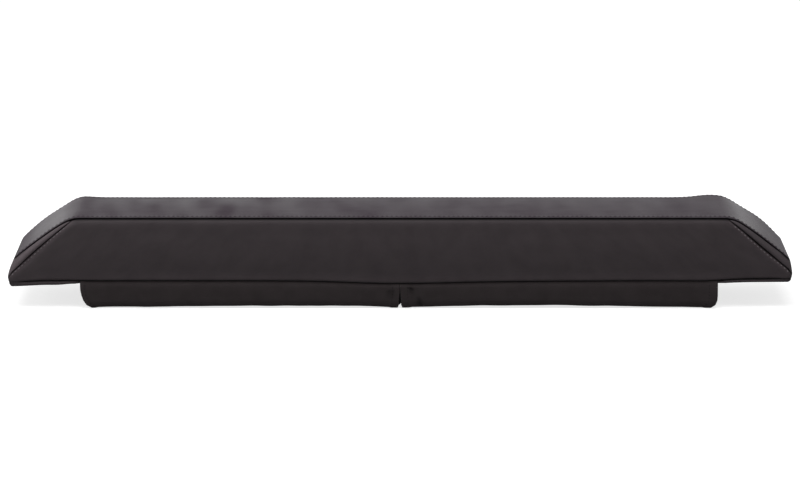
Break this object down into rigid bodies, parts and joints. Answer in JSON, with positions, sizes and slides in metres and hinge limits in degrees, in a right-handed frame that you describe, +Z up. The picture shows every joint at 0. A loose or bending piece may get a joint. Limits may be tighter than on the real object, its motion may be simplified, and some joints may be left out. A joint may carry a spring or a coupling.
{
  "type": "roof rack pad",
  "caption": "Long dark padded cover for a roof rack's cross bar: a foam block with sloping ends, a satin top, woven sides and a hook-and-loop sleeve under it.",
  "frame": {"origin": "centre of the bounding box, on the ground under the sleeve", "axes": "+X along the pad, towards the right in the picture; +Y from front to back; +Z up, towards the top panel"},
  "size_m": [0.76, 0.11, 0.088],
  "materials": {
    "foam": "matte closed-cell foam",
    "coated_fabric": "satin coated",
    "woven_fabric": "matte woven",
    "flap_fabric": "matte woven",
    "hook_tape": "nylon hooks",
    "loop_tape": "brushed loops"
  },
  "bodies": {
    "root": {"foam_core": "foam", "top_panel": "coated_fabric", "front_panel": "woven_fabric", "back_panel": "woven_fabric", "base_panel": "woven_fabric", "left_end_panel": "woven_fabric", "front_flap_left": "flap_fabric", "back_flap_left": "flap_fabric", "hook_tape_left": "hook_tape", "loop_tape_left": "loop_tape", "right_end_panel": "woven_fabric", "front_flap_right": "flap_fabric", "back_flap_right": "flap_fabric", "hook_tape_right": "hook_tape", "loop_tape_right": "loop_tape"}
  },
  "joints": []
}
